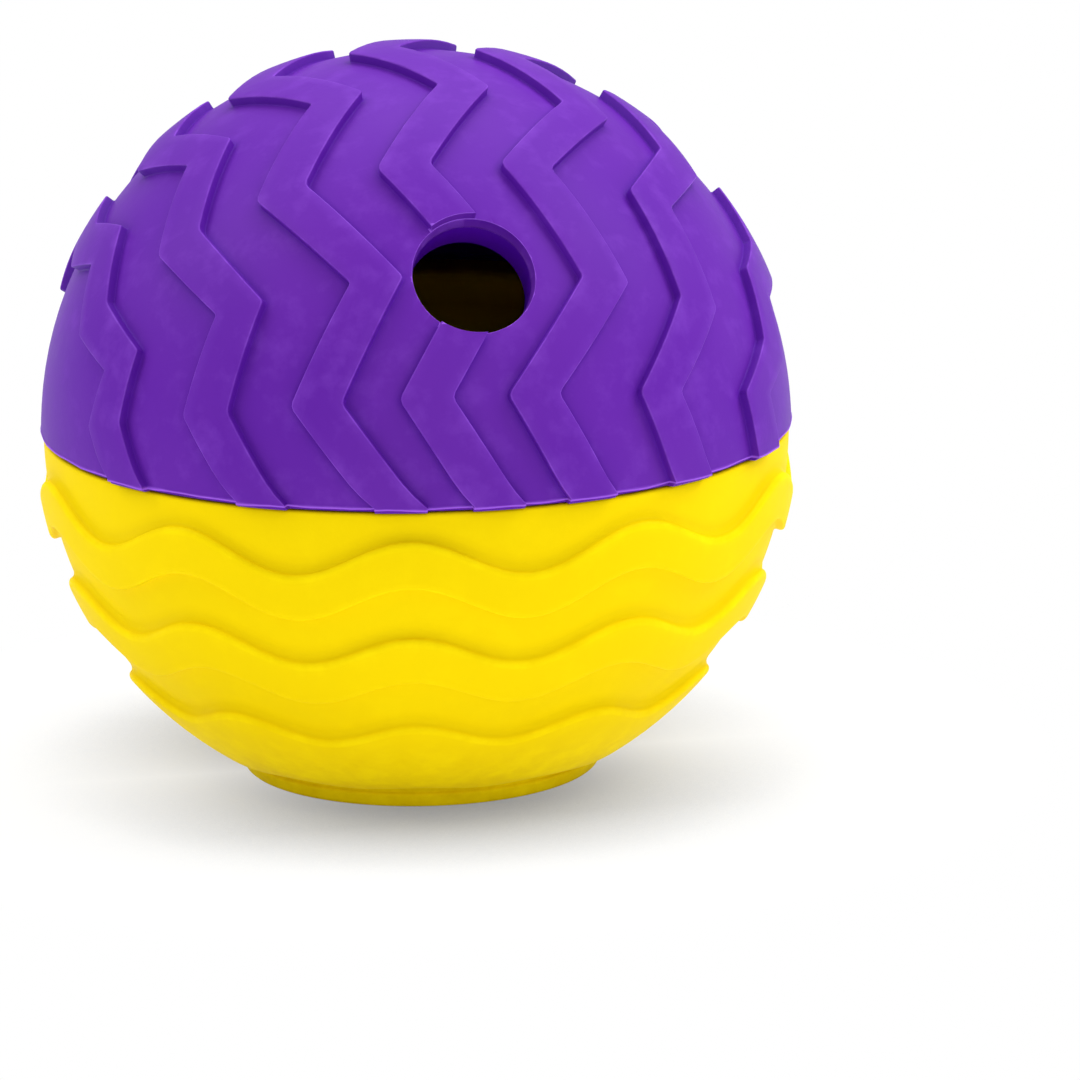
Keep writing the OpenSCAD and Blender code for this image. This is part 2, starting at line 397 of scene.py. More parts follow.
def edge_profile(height, crest, root, shade=0.0, steps=3):
    """(outward, up, mark) from the root of a rib's or band's edge to its top, with painted shade at
    the root and a painted highlight along the rounded top.
    """
    profile = []
    # The shaded strip: painted shade fading out over the skin beside the root
    if shade:
        profile += [(root + shade, 0, 0.0), (root + shade * 0.4, 0, 0.3 * PAINTED_SHADE)]
    low, high = min(root, height / 2), min(crest, height / 2)
    turns = [math.pi / 2 * i / steps for i in range(steps + 1)]
    # Painted shade on the root's fillet, when a shaded strip is asked for
    for i, a in enumerate(turns):
        painted_dark = 0.0
        if shade:
            painted_dark = PAINTED_SHADE if i else 0.7 * PAINTED_SHADE
        profile.append((root * (1 - math.sin(a)), low * (1 - math.cos(a)), painted_dark))
    # A painted highlight along the rounded top, weaker at its ends, and painted shade at its foot
    # when shaded
    for i, a in enumerate(turns):
        lit = PAINTED_LIGHT if 0 < i < steps else 0.25 * PAINTED_LIGHT
        if shade and i == 0:
            lit = 0.6 * PAINTED_SHADE
        profile.append((-crest * (1 - math.cos(a)), height - high * (1 - math.sin(a)), lit))
    return profile


def rib_middle(n, row, rows):
    """Middle line of a rib at a row of corners, in degrees across the ball."""
    side = 1 if row % 2 == 0 else -1
    if abs(n) == len(RIB_PLACES) - 1:
        near = min(row, rows - row)
        place, swing = RIB_PLACES[-1] + OUTER_SPREADS[near], OUTER_SWINGS[near]
    else:
        place = RIB_PLACES[abs(n)] + RIB_SPREADS[abs(n)] * math.sin(math.pi * row / rows)
        swing = RIB_SWINGS[abs(n)] * (SEAM_SWING_SHARE if row in (0, rows) else 1)
    return math.copysign(1, n) * place * (n != 0) + side * swing


def row_along(row, across, rows):
    """Where a row of corners lies at a place across the ball, in degrees from the seam's front."""
    near = min(row, rows - row)
    off = ROW_LEANS[near] + ROW_BENDS[near] * (across / RIB_PLACES[-1]) ** 4
    along = 180 * near / rows + off
    return along if near == row else 180 - along


def tread_row(row, ball, dome):
    """Directions, radii and marks along one row of corners, from pole to pole."""
    degree = ball.body_radius * math.pi / 180
    half = math.degrees(dome.rib_angle) / 2
    # Rib edges with painted shade at their roots and painted highlights along their tops
    edge = edge_profile(dome.rib_height, dome.rib_crest, dome.rib_root, ROOT_SHADE)
    columns = []
    reach = len(RIB_PLACES) - 1
    last = -90
    for n in range(-reach, reach + 1):
        middle = rib_middle(n, row, dome.rows)
        left = [(middle - half - out / degree, up, mark) for out, up, mark in edge]
        right = [(middle + half + out / degree, up, mark) for out, up, mark in reversed(edge)]
        steps = SKIN_STEPS if n > -reach else POLE_STEPS
        columns += [(across, 0, 0) for across in spread(last, left[0][0], steps)]
        columns += left
        columns += [(across, dome.rib_height, 0)
                    for across in spread(left[-1][0], right[0][0], RIB_STEPS)]
        columns += right
        last = right[-1][0]
    columns += [(across, 0, 0) for across in spread(last, 90, POLE_STEPS)]
    placed = []
    for across, up, mark in columns:
        along = math.radians(row_along(row, across, dome.rows))
        a = math.radians(across)
        ray = Vector((math.sin(a), -math.cos(a) * math.cos(along), math.cos(a) * math.sin(along)))
        placed.append((ray, ball.body_radius + up, mark))
    return placed


def between(row, next_row, share):
    """A row of tread points on great circles between two rows of corners."""
    return [
        ((a[0] * (1 - share) + b[0] * share).normalized(), a[1], a[2] * (1 - share) + b[2] * share)
        for a, b in zip(row, next_row)
    ]


def tread_sections(ball, dome):
    """All rows of tread points, with support rows that ease the zigzag's corners."""
    corners = [tread_row(row, ball, dome) for row in range(dome.rows + 1)]
    leg = ball.body_radius * math.pi / dome.rows
    ease = [dome.crisp_corner / leg, dome.blunt_corner / leg]
    sections = [corners[0]]
    for row in range(dome.rows):
        first, final = ease[row % 2], ease[(row + 1) % 2]
        shares = [first] + spread(first, 1 - final, LEG_STEPS) + [1 - final]
        sections += [between(corners[row], corners[row + 1], share) for share in shares]
        if row + 1 < dome.rows:
            after = between(corners[row + 1], corners[row + 2], final)
            chord = between(sections[-1], after, 0.5)
            sections.append(between(chord, corners[row + 1], CORNER_PULL))
    sections.append(corners[-1])
    return sections


def flash_rim(shell, rim, ball, dome, widest):
    """Adds the wavering flash line, with its painted highlight, and the strip of painted shade
    under it to the dome's edge.
    """
    reached = 0.0
    for out, share, waver, mark in RIM_RINGS:
        places = []
        for number in rim:
            away = shell.points[number].copy()
            away.z = 0
            turned = math.atan2(away.y, away.x)
            ripple = sum(rise * math.sin(count * turned + shift)
                         for rise, count, shift in RIM_RIPPLES)
            scale = 1 + (out - reached) * MM / away.length
            point = away * min(scale, widest / away.length)
            point.z = ball.seam_height + ball.seam_gap + (share + waver * ripple) * dome.rim_height
            places.append(point)
        ring = shell.ring(places, [mark] * len(places))
        shell.bridge(rim, ring)
        rim = ring
        reached = out
    return rim


def flat_edge(shell, rim, radius):
    """Closes the dome below with the flat face that the socket is cut into."""
    places = []
    for number in rim:
        point = shell.points[number].copy()
        height = point.z
        point.z = 0
        point = point.normalized() * radius
        point.z = height
        places.append(point)
    ring = shell.ring(places)
    shell.bridge(rim, ring)
    shell.faces.append(ring)


def dome_blank(ball, dome):
    """The solid dome with its tread and its rim, before anything is cut from it."""
    lift = ball.seam_gap + dome.rim_height
    lifted = LIFT_FADE * lift
    place = Matrix.Rotation(dome.tread_turn, 4, "Z")
    widest, highest = DOME_BOX[1].y - BOX_CLEARANCE, DOME_BOX[1].z - ball.seam_height

    def raised(ray, radius):
        point = ray * radius
        point.z += lift * max(0.0, 1 - point.z / lifted) ** 2
        out = math.hypot(point.x, point.y)
        point.xy *= min(1.0, widest / max(out, widest / 2))
        point.z = min(point.z, highest)
        return place @ point + Vector((0, 0, ball.seam_height))

    shell = Shell()
    poles = [shell.point(raised(Vector((x, 0, 0)), ball.body_radius)) for x in (-1, 1)]
    rows = []
    for section in tread_sections(ball, dome):
        inner = shell.ring([raised(ray, radius) for ray, radius, _ in section],
                           [mark for _, _, mark in section])
        rows.append([poles[0]] + inner + [poles[1]])
    for low, high in zip(rows, rows[1:]):
        shell.bridge(low, high, closed=False)
    rim = flash_rim(shell, rows[0] + rows[-1][-2:0:-1], ball, dome, widest)
    flat_edge(shell, rim, dome.groove_radius + EDGE_LAND)
    return shell.make("tread_dome")


def hollow_tool(ball, dome):
    """The round hollow of the dome, over the lip that the collar passes."""
    hollow = ball.body_radius - dome.wall
    start = math.degrees(math.asin(dome.lip_height / hollow))
    return lathe("hollow_tool", arc((0, ball.seam_height), hollow, start, 89, 36), segments=144)


def bore_tool(ball, dome):
    """The bore round the collar."""
    low = ball.seam_height
    ends = (low - RUN_OUT, low + dome.groove_high)
    return lathe("bore_tool", [(dome.bore_radius, end) for end in ends], segments=144)


def notch_tool(ball, dome, count):
    """The entry notches and groove segments, each an L of cells round the bore."""
    shell = Shell()
    levels = [-RUN_OUT, dome.groove_low, dome.groove_high]
    inner, outer = dome.bore_radius - 2 * RUN_OUT, dome.groove_radius
    notch_steps, lock_steps = 8, 20
    half = dome.notch_angle / 2
    angles = [-half + dome.notch_angle * i / notch_steps for i in range(notch_steps + 1)]
    angles += [half + dome.lock_turn * (i + 1) / lock_steps for i in range(lock_steps)]

    def filled(i, level):
        return 0 <= i < len(angles) - 1 and (level == 1 or (level == 0 and i < notch_steps))

    for start in [math.tau * n / count - math.pi / 2 for n in range(count)]:
        numbers = {}

        def corner(i, level, radius):
            key = (i, level, radius)
            if key not in numbers:
                a = angles[i] + start
                height = ball.seam_height + levels[level]
                place = Vector((radius * math.cos(a), radius * math.sin(a), height))
                numbers[key] = shell.point(place)
            return numbers[key]

        for i, level in [(i, level) for i in range(len(angles) - 1) for level in (0, 1)]:
            if not filled(i, level):
                continue
            for radius in (inner, outer):
                shell.faces.append([corner(i, level, radius), corner(i + 1, level, radius),
                                    corner(i + 1, level + 1, radius), corner(i, level + 1, radius)])
            for other, edge in (((i - 1, level), ((i, level), (i, level + 1))),
                                ((i + 1, level), ((i + 1, level), (i + 1, level + 1))),
                                ((i, level - 1), ((i, level), (i + 1, level))),
                                ((i, level + 1), ((i, level + 1), (i + 1, level + 1)))):
                if not filled(*other):
                    first, second = edge
                    shell.faces.append([corner(*first, inner), corner(*second, inner),
                                        corner(*second, outer), corner(*first, outer)])
    return shell.make("notch_tool")


def hole_axis(ball, dome):
    """Places a form that is turned round Z on the axis of the treat hole."""
    centre = Matrix.Translation((0, 0, ball.seam_height))
    return centre @ Matrix.Rotation(math.pi / 2 - dome.hole_tilt, 4, "X")


def ring_tool(ball, dome):
    """The raised ring round the hole's inner end."""
    hollow = ball.body_radius - dome.wall
    outer = dome.hole_radius + dome.ring_width
    low = math.sqrt(hollow ** 2 - outer ** 2) - dome.ring_height
    ease = 0.35 * MM
    profile = [(outer - ease, low), (outer - 0.3 * ease, low + 0.3 * ease), (outer, low + ease)]
    profile.append((outer, hollow + dome.wall / 2))
    return lathe("ring_tool", profile, segments=96, placed=hole_axis(ball, dome))


def hole_tool(ball, dome):
    """The treat hole: a bore whose mouth widens along rays and is eased at skin and rib."""
    radius = dome.hole_radius
    mouth = radius + dome.mouth_ease
    slope = mouth / math.sqrt(ball.body_radius ** 2 - mouth ** 2)
    skin = math.sqrt(ball.body_radius ** 2 - mouth ** 2)
    rib = skin + dome.rib_height
    start, end = 20 * MM, rib + 3 * MM
    finish_edge = ball.body_radius - dome.wall * OUTER_SHARE
    profile = [(radius, start), (radius, finish_edge), (radius, radius / slope)]
    grown = 0
    for top, ease in ((skin, SKIN_EASE), (rib, RIB_EASE)):
        for out, down in EASED_EDGE:
            height = top - down * ease
            profile.append((height * slope + grown + out * ease, height - out * EASE_FALL * ease))
        grown += ease
    profile.append((end * slope + grown, end))
    return lathe("hole_tool", profile, segments=112, placed=hole_axis(ball, dome))


def lug_offset(out, inside):
    """How far a lug stands out at a distance inside its edge, with the edge rounded."""
    if inside < 0:
        return 0.0
    if inside < LUG_EASE:
        return max(0.0, out - LUG_EASE + math.sqrt(LUG_EASE ** 2 - (LUG_EASE - inside) ** 2))
    return out


def lug_half(bowl):
    """Half of the angle that a lug takes on the collar."""
    return math.asin(bowl.lug_width / 2 / (bowl.collar_radius + bowl.lug_reach))


def bowl_columns(bowl):
    """Angles round the bowl: even steps, with close ones along the sides of the lugs."""
    reach = bowl.collar_radius + bowl.lug_reach
    half = lug_half(bowl)
    insides = [share * LUG_EASE for share in LUG_STEPS]
    close = []
    for i in range(bowl.lug_count):
        middle = math.tau * i / bowl.lug_count
        for side in (-1, 1):
            close += [(middle + side * (half - inside / reach)) % math.tau for inside in insides]
    count = bowl.wave_count * WAVE_STEPS
    even = [(bowl.wave_turn + math.tau * i / count) % math.tau for i in range(count)]
    clear = math.radians(0.45)
    kept = [a for a in even
            if all(abs((a - b + math.pi) % math.tau - math.pi) > clear for b in close)]
    return sorted(kept + close)


def foot_rows(bowl):
    """(radius, height, mark) from the foot's middle, up its side and into the groove over it; the
    side and the groove carry painted light.
    """
    low_edge, high_edge = 0.6 * MM, 0.35 * MM
    foot, top = bowl.foot_radius, bowl.foot_height
    edge = bowl.foot_edge - high_edge
    flat = [(foot * share, 0) for share in (0.3, 0.6, 0.85)]
    side = arc((foot - low_edge, low_edge), low_edge, -90, -8, 3)
    side += arc((edge, top - high_edge), high_edge, -20, 80, 4)
    side += [(edge + out * MM, top + up * MM) for out, up in FOOT_GROOVE]
    # Painted light on the foot's side and in the groove, which stand in the ball's shade
    return [(*place, 0.0) for place in flat] + [(*place, PAINTED_LIGHT) for place in side]


def band_rows(around, skin, bowl):
    """(degrees below the seam, rise, mark) up the skin and over its three bands, with their painted
    light and shade.
    """
    degree = skin * math.pi / 180
    crest = math.cos(bowl.wave_count * (around - bowl.wave_turn))
    rows = [(FOOT_TOP, 0, PAINTED_LIGHT)]
    last = FOOT_TOP
    for i in reversed(range(len(BAND_TOPS))):
        end = BAND_ENDS[i] - END_SWINGS[i] * crest
        upper = BAND_TOPS[i] - TOP_SWINGS[i] * crest
        soft = LIP_SOFTNESS[i]
        low = edge_profile(bowl.wave_height, bowl.lip * soft, bowl.lip_root * soft)
        high = edge_profile(bowl.wave_height, bowl.crest, bowl.crest_root, 0, 4)
        # Painted shade in the fillet over a band's upper edge, and half the painted highlight on
        # its crest
        high = [(out, up, 0.22 * PAINTED_SHADE if out > 0 else 0.5 * mark) for out, up, mark in high]
        # The strip of painted shade on the skin over the band
        high = [(bowl.crest_root + over * MM, 0, mark) for over, mark in BAND_SHADE] + high
        rows += [(below, 0, 0.0) for below in spread(last, end + low[0][0] / degree, 3)]
        # A little painted highlight on a band's lower edge, and full painted light on the soft last
        # one
        rows += [(end + out / degree, up, 0.4 * mark if soft == 1 else PAINTED_LIGHT)
                 for out, up, mark in low]
        # The band's face, painted lighter towards the underside
        for below in spread(end + low[-1][0] / degree, upper - high[-1][0] / degree, 6):
            light = (below - LIGHT_FROM) / (LIGHT_TO - LIGHT_FROM)
            rows.append((below, bowl.wave_height, min(PAINTED_LIGHT, max(0.0, light))))
        rows += [(upper - out / degree, up, mark) for out, up, mark in reversed(high)]
        last = upper - high[0][0] / degree
    return rows + [(below, 0, 0.0) for below in spread(last, math.degrees(BRIM / skin), 4)]


def collar_rows(around, ball, bowl):
    """(radius, height, mark) up the collar, over a lug where there is one, to the mouth."""
    collar, low, rim = bowl.collar_radius, COLLAR_TOP - bowl.lug_height, COLLAR_TOP
    centre = min(abs((around - math.tau * i / bowl.lug_count + math.pi) % math.tau - math.pi)
                 for i in range(bowl.lug_count))
    inside = (lug_half(bowl) - centre) * (collar + bowl.lug_reach)
    heights = spread(ball.seam_height + COLLAR_FILLET, low + LUG_STEPS[0] * LUG_EASE, 3)
    heights += [low + share * LUG_EASE for share in LUG_STEPS]
    heights += spread(low + LUG_EASE, rim - COLLAR_EDGE, 4)
    wall = [(collar, height) for height in heights]
    wall += arc((collar - COLLAR_EDGE, rim - COLLAR_EDGE), COLLAR_EDGE, 0, 90, 4)
    rows = []
    for radius, height in wall:
        share = (height - low) / bowl.lug_height
        out = bowl.lug_reach + (bowl.lug_lead - bowl.lug_reach) * share
        stands = min(lug_offset(out, inside), lug_offset(out, height - low))
        # Half the painted highlight on the collar's rounded top edge
        rows.append((radius + stands, height, 0.5 * PAINTED_LIGHT if height > rim - COLLAR_EDGE else 0.0))
    crown = lug_offset(bowl.lug_lead, inside)
    tops = spread(collar - COLLAR_EDGE, bowl.mouth_radius + COLLAR_EDGE, len(CROWN_SHARES))
    return rows + [(radius + crown * share, rim, 0.0)
                   for radius, share in zip(tops, CROWN_SHARES)]


def bowl_profile(around, ball, bowl):
    """(radius, height, mark) down one column of the bowl, from the foot's middle to the bowl's."""
    skin = ball.body_radius - ball.rim_step
    seam, collar, mouth = ball.seam_height, bowl.collar_radius, bowl.mouth_radius
    rows = foot_rows(bowl)
    for below, up, mark in band_rows(around, skin, bowl):
        a = math.radians(below)
        rows.append(((skin + up) * math.cos(a), seam - (skin + up) * math.sin(a), mark))

    shoulder = arc((skin - BRIM, seam - BRIM), BRIM, 0, 90, 3)
    shoulder += [(radius, seam) for radius in spread(skin - BRIM, collar + COLLAR_FILLET, 4)]
    shoulder += arc((collar + COLLAR_FILLET, seam + COLLAR_FILLET), COLLAR_FILLET, 270, 180, 3)
    rows += [(*place, 0.0) for place in shoulder]
    rows += collar_rows(around, ball, bowl)

    floor, edge = seam - bowl.bowl_drop, COLLAR_TOP - COLLAR_EDGE
    # A little painted highlight on the mouth's rounded edge
    rows += [(*place, 0.3) for place in arc((mouth + COLLAR_EDGE, edge), COLLAR_EDGE, 90, 180, 4)]
    inner = [(mouth, height) for height in spread(edge, floor, 6)]
    inner += arc((0, floor), mouth, 0, -88, 22)
    # Painted shade all over the bowl's inside
    return rows + [(*place, PAINTED_SHADE) for place in inner]


def bowl_blank(ball, bowl):
    """The bowl as one closed skin, column by column round its axis."""
    angles = bowl_columns(bowl)
    profiles = [bowl_profile(around, ball, bowl) for around in angles]
    shell = Shell()
    rings = []
    for k in range(len(profiles[0])):
        places = []
        for around, profile in zip(angles, profiles):
            radius, height, _ = profile[k]
            places.append(Vector((radius * math.sin(around), -radius * math.cos(around), height)))
        rings.append(shell.ring(places, [profile[k][2] for profile in profiles]))
    for low, high in zip(rings, rings[1:]):
        shell.bridge(low, high)
    deep = ball.seam_height - bowl.bowl_drop - bowl.mouth_radius
    shell.fan(rings[0], shell.point(Vector((0, 0, 0))))
    shell.fan(rings[-1], shell.point(Vector((0, 0, deep))))
    return shell.make("banded_bowl")


def stroke(shell, path, radius):
    """A raised stroke on the collar along a path of (angle, height)."""
    sunk, proud = radius - ARROW_SUNK, radius + ARROW_PROUD
    flank = proud - 0.3 * (proud - sunk)
    shape = ((-1, sunk), (-1, flank), (-0.55, proud), (0.55, proud), (1, flank), (1, sunk))
    rows = []
    for i, (angle, height) in enumerate(path):
        back, ahead = path[max(i - 1, 0)], path[min(i + 1, len(path) - 1)]
        along = Vector(((ahead[0] - back[0]) * radius, ahead[1] - back[1])).normalized()
        side = Vector((-along.y, along.x)) * ARROW_WIDTH / 2
        corners = []
        for across, r in shape:
            a = angle + across * side.x / radius
            corners.append(Vector((r * math.sin(a), -r * math.cos(a), height + across * side.y)))
        rows.append(shell.ring(corners))
    for low, high in zip(rows, rows[1:]):
        shell.bridge(low, high)
    shell.faces += [list(rows[0]), list(rows[-1])]


def line(start, end, steps):
    """Points of a straight stroke."""
    return [(start[0] + (end[0] - start[0]) * i / steps, start[1] + (end[1] - start[1]) * i / steps)
            for i in range(steps + 1)]


class Value:
    """A number that a shader works out: an expression on it adds its Math nodes."""

    def __init__(self, finish, socket):
        self.finish = finish
        self.socket = socket

    def maths(self, operation, first, second=0.0):
        node = self.finish.node("ShaderNodeMath", {"operation": operation}, {0: first, 1: second})
        return Value(self.finish, node.outputs[0])

    def __add__(self, other):
        return self.maths("ADD", self, other)

    __radd__ = __add__

    def __sub__(self, other):
        return self.maths("SUBTRACT", self, other)

    def __rsub__(self, other):
        return self.maths("SUBTRACT", other, self)

    def __mul__(self, other):
        return self.maths("MULTIPLY", self, other)

    __rmul__ = __mul__

    def __abs__(self):
        return self.maths("ABSOLUTE", self)

    def __lt__(self, other):
        return self.maths("LESS_THAN", self, other)

    def __gt__(self, other):
        return self.maths("GREATER_THAN", self, other)


class Finish:
    """The nodes of one material or of the surroundings."""

    def __init__(self, owner):
        self.owner = owner
        owner.use_nodes = True
        self.tree = owner.node_tree
        self.tree.nodes.clear()

    def node(self, kind, settings, sockets):
        """Adds a node: its settings first, then the values or links of its sockets."""
        node = self.tree.nodes.new(kind)
        for key, value in settings.items():
            if key == "stops":
                ramp = node.color_ramp
                while len(ramp.elements) < len(value):
                    ramp.elements.new(0.5)
                for element, (position, shade) in zip(ramp.elements, value):
                    element.position = position
                    element.color = shade
            else:
                setattr(node, key, value)
        for key, value in sockets.items():
            if isinstance(value, Value):
                value = value.socket
            if isinstance(value, bpy.types.NodeSocket):
                self.tree.links.new(value, node.inputs[key])
            else:
                node.inputs[key].default_value = value
        return node

    def value(self, kind, settings, sockets, output=0):
        """Adds a node and wraps one of its outputs as a number."""
        return Value(self, self.node(kind, settings, sockets).outputs[output])

    def mix(self, share, first, second):
        """Mixes two colours."""
        sockets = {0: share, 6: first, 7: second}
        return self.node("ShaderNodeMix", {"data_type": "RGBA"}, sockets).outputs[2]

    def mix_shaders(self, share, first, second):
        """Mixes two shaders, given as their nodes."""
        sockets = {0: share, 1: first.outputs[0], 2: second.outputs[0]}
        return self.node("ShaderNodeMixShader", {}, sockets)

    def noise(self, place, scale, detail=2.0, roughness=0.5):
        """Noise from 0 to 1, at a scale in features to the metre."""
        sockets = {"Vector": place, "Scale": scale, "Detail": detail, "Roughness": roughness}
        return self.value("ShaderNodeTexNoise", {}, sockets)

    def ramp(self, share, low, high):
        """Maps a number from low to high onto 0 to 1."""
        return self.value("ShaderNodeMapRange", {"clamp": True},
                          {"Value": share, "From Min": low, "From Max": high})


def opaque(shade):
    """A colour with its alpha."""
    return (*shade, 1.0)


def rubber(name, shades, rough=0.46, grain=0.02 * MM, painted_light_share=0.0, dust=0.0, gloss=0.1, sheen=0.0):
    """Satin moulded rubber: cloudy colour, painted highlights and painted shade from the marks,
    fine grain and a little dust.
    """
    finish = Finish(bpy.data.materials.new(name))
    plain, light, deep, painted_dark = [opaque(shade) for shade in shades]
    place = finish.node("ShaderNodeTexCoord", {}, {}).outputs["Object"]
    cloud = finish.noise(place, CLOUDS, 3)
    smudge = finish.noise(place, SMUDGES, 4, 0.6)
    speckle = finish.noise(place, SPECKLE, 2)
    marks = finish.value("ShaderNodeAttribute", {"attribute_name": "edge"}, {}, "Fac")
    # Masks of the painted light, the flash line's painted highlight and the painted shade, read
    # from the marks
    painted_light_mask = finish.ramp(marks, 0, PAINTED_LIGHT)
    flash = finish.ramp(marks, 1.2, 1.9)
    nook = finish.ramp(0 - marks, 0, -PAINTED_SHADE)
    cells = finish.node("ShaderNodeTexVoronoi", {"feature": "F1"},
                        {"Vector": place, "Scale": SPECKS})
    near = Value(finish, cells.outputs["Distance"]) < SPECK_RADIUS
    chosen = finish.value("ShaderNodeSeparateColor", {}, {0: cells.outputs["Color"]}) > 1 - dust
    body = finish.mix(finish.ramp(cloud, 0.35, 0.7) * 0.3, plain, deep)
    body = finish.mix(finish.ramp(smudge, 0.5, 0.75) * 0.14, body, light)
    # Painted shade in the nooks
    body = finish.mix(nook * 0.6, body, painted_dark)
    # Painted highlights and painted light, in smudgy patches
    body = finish.mix(painted_light_mask * finish.ramp(smudge, 0.25, 0.65) * painted_light_share, body, light)
    # Painted highlight on the flash line
    body = finish.mix(flash * 0.9, body, light)
    body = finish.mix(near * chosen * 0.75, body, DUST)
    bump = finish.node("ShaderNodeBump", {}, {
        "Strength": 0.5, "Distance": grain, "Height": speckle + smudge * 1.6,
    })
    surface = finish.node("ShaderNodeBsdfPrincipled", {}, {
        "Base Color": body,
        "Roughness": rough + (smudge - 0.5) * 0.16 + painted_light_mask * 0.04,
        "Specular IOR Level": gloss,
        "Sheen Weight": sheen,
        "Sheen Roughness": 0.45,
        "Sheen Tint": light,
        "Normal": bump.outputs[0],
    })
    finish.node("ShaderNodeOutputMaterial", {}, {"Surface": surface.outputs[0]})
    return finish.owner


def sizes():
    """The settings of the scene, as the operators use them."""
    scene = bpy.context.scene
    return scene.ball_sizes, scene.dome_sizes, scene.bowl_sizes, scene.ball_finishes


def finish_dome(piece, ball, dome, look):
    """Gives the dome its rubber outside and inside, and a painted highlight along the rim of the
    treat hole.
    """
    outer = (look.purple, look.purple_smudge_and_highlight, look.purple_deep, look.purple_painted_shade)
    inner = (look.purple_inside, look.purple, look.purple_inside, look.purple_inside)
    # The rim finish is light purple all over: a painted highlight along the treat hole's eased edge
    rim = (look.purple_smudge_and_highlight, look.purple_smudge_and_highlight, look.purple, look.purple)
    fine = {"rough": 0.4, "grain": 0.01 * MM}
    piece.data.materials.clear()
    for finish in (
        rubber("purple_rubber", outer, painted_light_share=0.4, dust=0.2, gloss=0.06, sheen=0.05),
        rubber("purple_rubber_inside", inner, gloss=0.2, **fine),
        rubber("purple_rubber_rim", rim, gloss=0.1, **fine),
    ):
        piece.data.materials.append(finish)
    centre = Vector((0, 0, ball.seam_height))
    axis = hole_axis(ball, dome).col[2].xyz
    highlight_face = 0.09 * MM * MM
    highlight_reach = dome.hole_radius + 0.7 * MM
    skin_depth = (OUTER_SHARE - 0.01) * dome.wall
    for face in piece.data.polygons:
        away = face.center - centre
        # Faces deep in the wall take the darker inside finish, in the treat hole also painted shade
        deep = away.length < ball.body_radius - skin_depth
        face.material_index = int(deep and away.z > 2 * ball.seam_gap)
        along = away.dot(axis)
        # Small faces round the hole's mouth take the painted highlight
        near = along > 0 and (away - axis * along).length < highlight_reach
        if face.area < highlight_face and near and not deep:
            face.material_index = 2


class BALL_OT_dome(bpy.types.Operator):
    """Build the purple dome with its zigzag tread, treat hole and bayonet socket."""

    bl_idname = "ball.dome"
    bl_label = "Tread dome"

    def execute(self, context):
        ball, dome, bowl, look = sizes()
        piece = dome_blank(ball, dome)
        cut(piece, hollow_tool(ball, dome))
        cut(piece, ring_tool(ball, dome), "UNION")
        cut(piece, bore_tool(ball, dome))
        cut(piece, notch_tool(ball, dome, bowl.lug_count))
        cut(piece, hole_tool(ball, dome))
        finish_dome(piece, ball, dome, look)
        smooth(piece)
        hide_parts("upper_half")
        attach(piece, "upper")
        return {"FINISHED"}


class BALL_OT_bowl(bpy.types.Operator):
    """Build the yellow bowl with its wavy bands, foot, collar and lugs."""

    bl_idname = "ball.bowl"
    bl_label = "Banded bowl"

    def execute(self, context):
        ball, _, bowl, look = sizes()
        piece = bowl_blank(ball, bowl)
        shades = (look.yellow, look.yellow_smudge_and_painted_light, look.yellow_deep, look.yellow_painted_shade)
        # The yellow rubber takes its painted highlights and painted light at full strength
        piece.data.materials.append(rubber("yellow_rubber", shades, painted_light_share=1.0, gloss=0.012))
        smooth(piece)
        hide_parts("lower_half")
        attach(piece, "lower")
        return {"FINISHED"}


class BALL_OT_arrow(bpy.types.Operator):
    """Build the low arrow on the collar that shows which way the dome turns to lock."""

    bl_idname = "ball.arrow"
    bl_label = "Turn arrow"

    def execute(self, context):
        ball, _, bowl, _ = sizes()
        shell = Shell()
        height = ball.seam_height + bowl.arrow_height
        for first, last, steps in ARROW_STROKES:
            ends = [(bowl.arrow_start + math.radians(across), height + up * MM)
                    for across, up in (first, last)]
            stroke(shell, line(*ends, steps), bowl.collar_radius)
        piece = shell.make("turn_arrow")
        piece.data.materials.append(bpy.data.materials["yellow_rubber"])
        smooth(piece)
        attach(piece, "lower")
        return {"FINISHED"}


def aim_camera(stage, ball):
    """Places the camera as the photograph was taken: the ball's centre lies up and left."""
    middle = PHOTO_SIZE / 2
    towards = Vector(((BALL_AT[0] - middle) / stage.focal_pixels,
                      (middle - BALL_AT[1]) / stage.focal_pixels, -1)).normalized()
    back = -towards
    right = Vector((math.sin(stage.roll), math.cos(stage.roll), 0)).cross(back).normalized()
    up = back.cross(right)
    lean, level = math.cos(stage.elevation), math.sin(stage.elevation)
    away = -(back * lean - up * level)
    axis = up * lean + back * level
    seen = Matrix((right, away, axis)).transposed() @ Matrix.Rotation(stage.azimuth, 3, "Z")
    turned = seen.transposed()
    place = Vector((0, 0, ball.seam_height)) - turned @ (towards * stage.distance)
    data = bpy.data.cameras.new("photo_camera")
    data.sensor_width = SENSOR
    data.lens = stage.focal_pixels / PHOTO_SIZE * SENSOR
    data.clip_start, data.clip_end = 0.05, 50
    camera = bpy.data.objects.new("photo_camera", data)
    bpy.context.scene.collection.objects.link(camera)
    camera.matrix_world = Matrix.Translation(place) @ turned.to_4x4()
    bpy.context.scene.camera = camera


